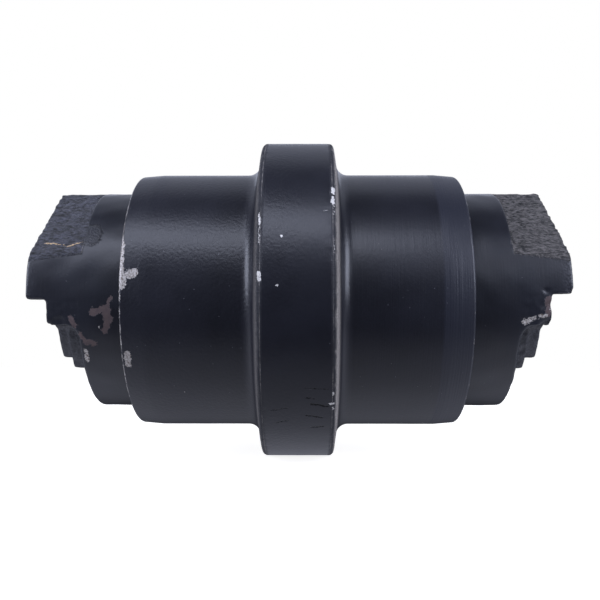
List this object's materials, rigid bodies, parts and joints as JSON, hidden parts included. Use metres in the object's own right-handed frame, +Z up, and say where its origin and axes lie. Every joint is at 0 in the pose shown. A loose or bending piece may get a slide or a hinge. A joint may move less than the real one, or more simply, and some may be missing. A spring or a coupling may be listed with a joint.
{
  "type": "track roller",
  "caption": "Sealed centre-flange track roller for a small excavator, turning on a fixed shaft held by two bolted end collars.",
  "frame": {"origin": "middle of the shaft's axis, halfway between the two collars", "axes": "+Y along the shaft, +Z up with the feet of the collars above the axis, +X across the machine's track"},
  "size_m": [0.1526, 0.2374, 0.1526],
  "materials": {
    "shell_paint": "semi-gloss blue-black paint on forged and turned steel",
    "collar_paint": "semi-gloss blue-black paint on cast iron, rough on the sloping pads",
    "ground_steel": "ground steel",
    "bronze": "turned bronze",
    "seal_iron": "lapped alloy iron",
    "nitrile_rubber": "moulded black nitrile rubber",
    "pin_steel": "hardened steel",
    "zinc_plate": "zinc plate"
  },
  "bodies": {
    "fixed": {"shaft": "ground_steel", "left_collar": "collar_paint", "right_collar": "collar_paint", "left_fixed_seal_ring": "seal_iron", "right_fixed_seal_ring": "seal_iron", "left_fixed_toric_ring": "nitrile_rubber", "right_fixed_toric_ring": "nitrile_rubber", "left_shaft_o_ring": "nitrile_rubber", "right_shaft_o_ring": "nitrile_rubber", "left_collar_pin": "pin_steel", "right_collar_pin": "pin_steel", "oil_plug": "zinc_plate", "oil_plug_o_ring": "nitrile_rubber"},
    "roller": {"roller_shell": "shell_paint", "left_bushing": "bronze", "right_bushing": "bronze", "left_thrust_washer": "bronze", "right_thrust_washer": "bronze", "left_rotating_seal_ring": "seal_iron", "right_rotating_seal_ring": "seal_iron", "left_rotating_toric_ring": "nitrile_rubber", "right_rotating_toric_ring": "nitrile_rubber"}
  },
  "joints": [
    {"name": "roller_spin", "type": "hinge", "parent": "fixed", "child": "roller", "pos_m": [0, 0, 0], "axis": [0, 1, 0], "continuous": true}
  ]
}
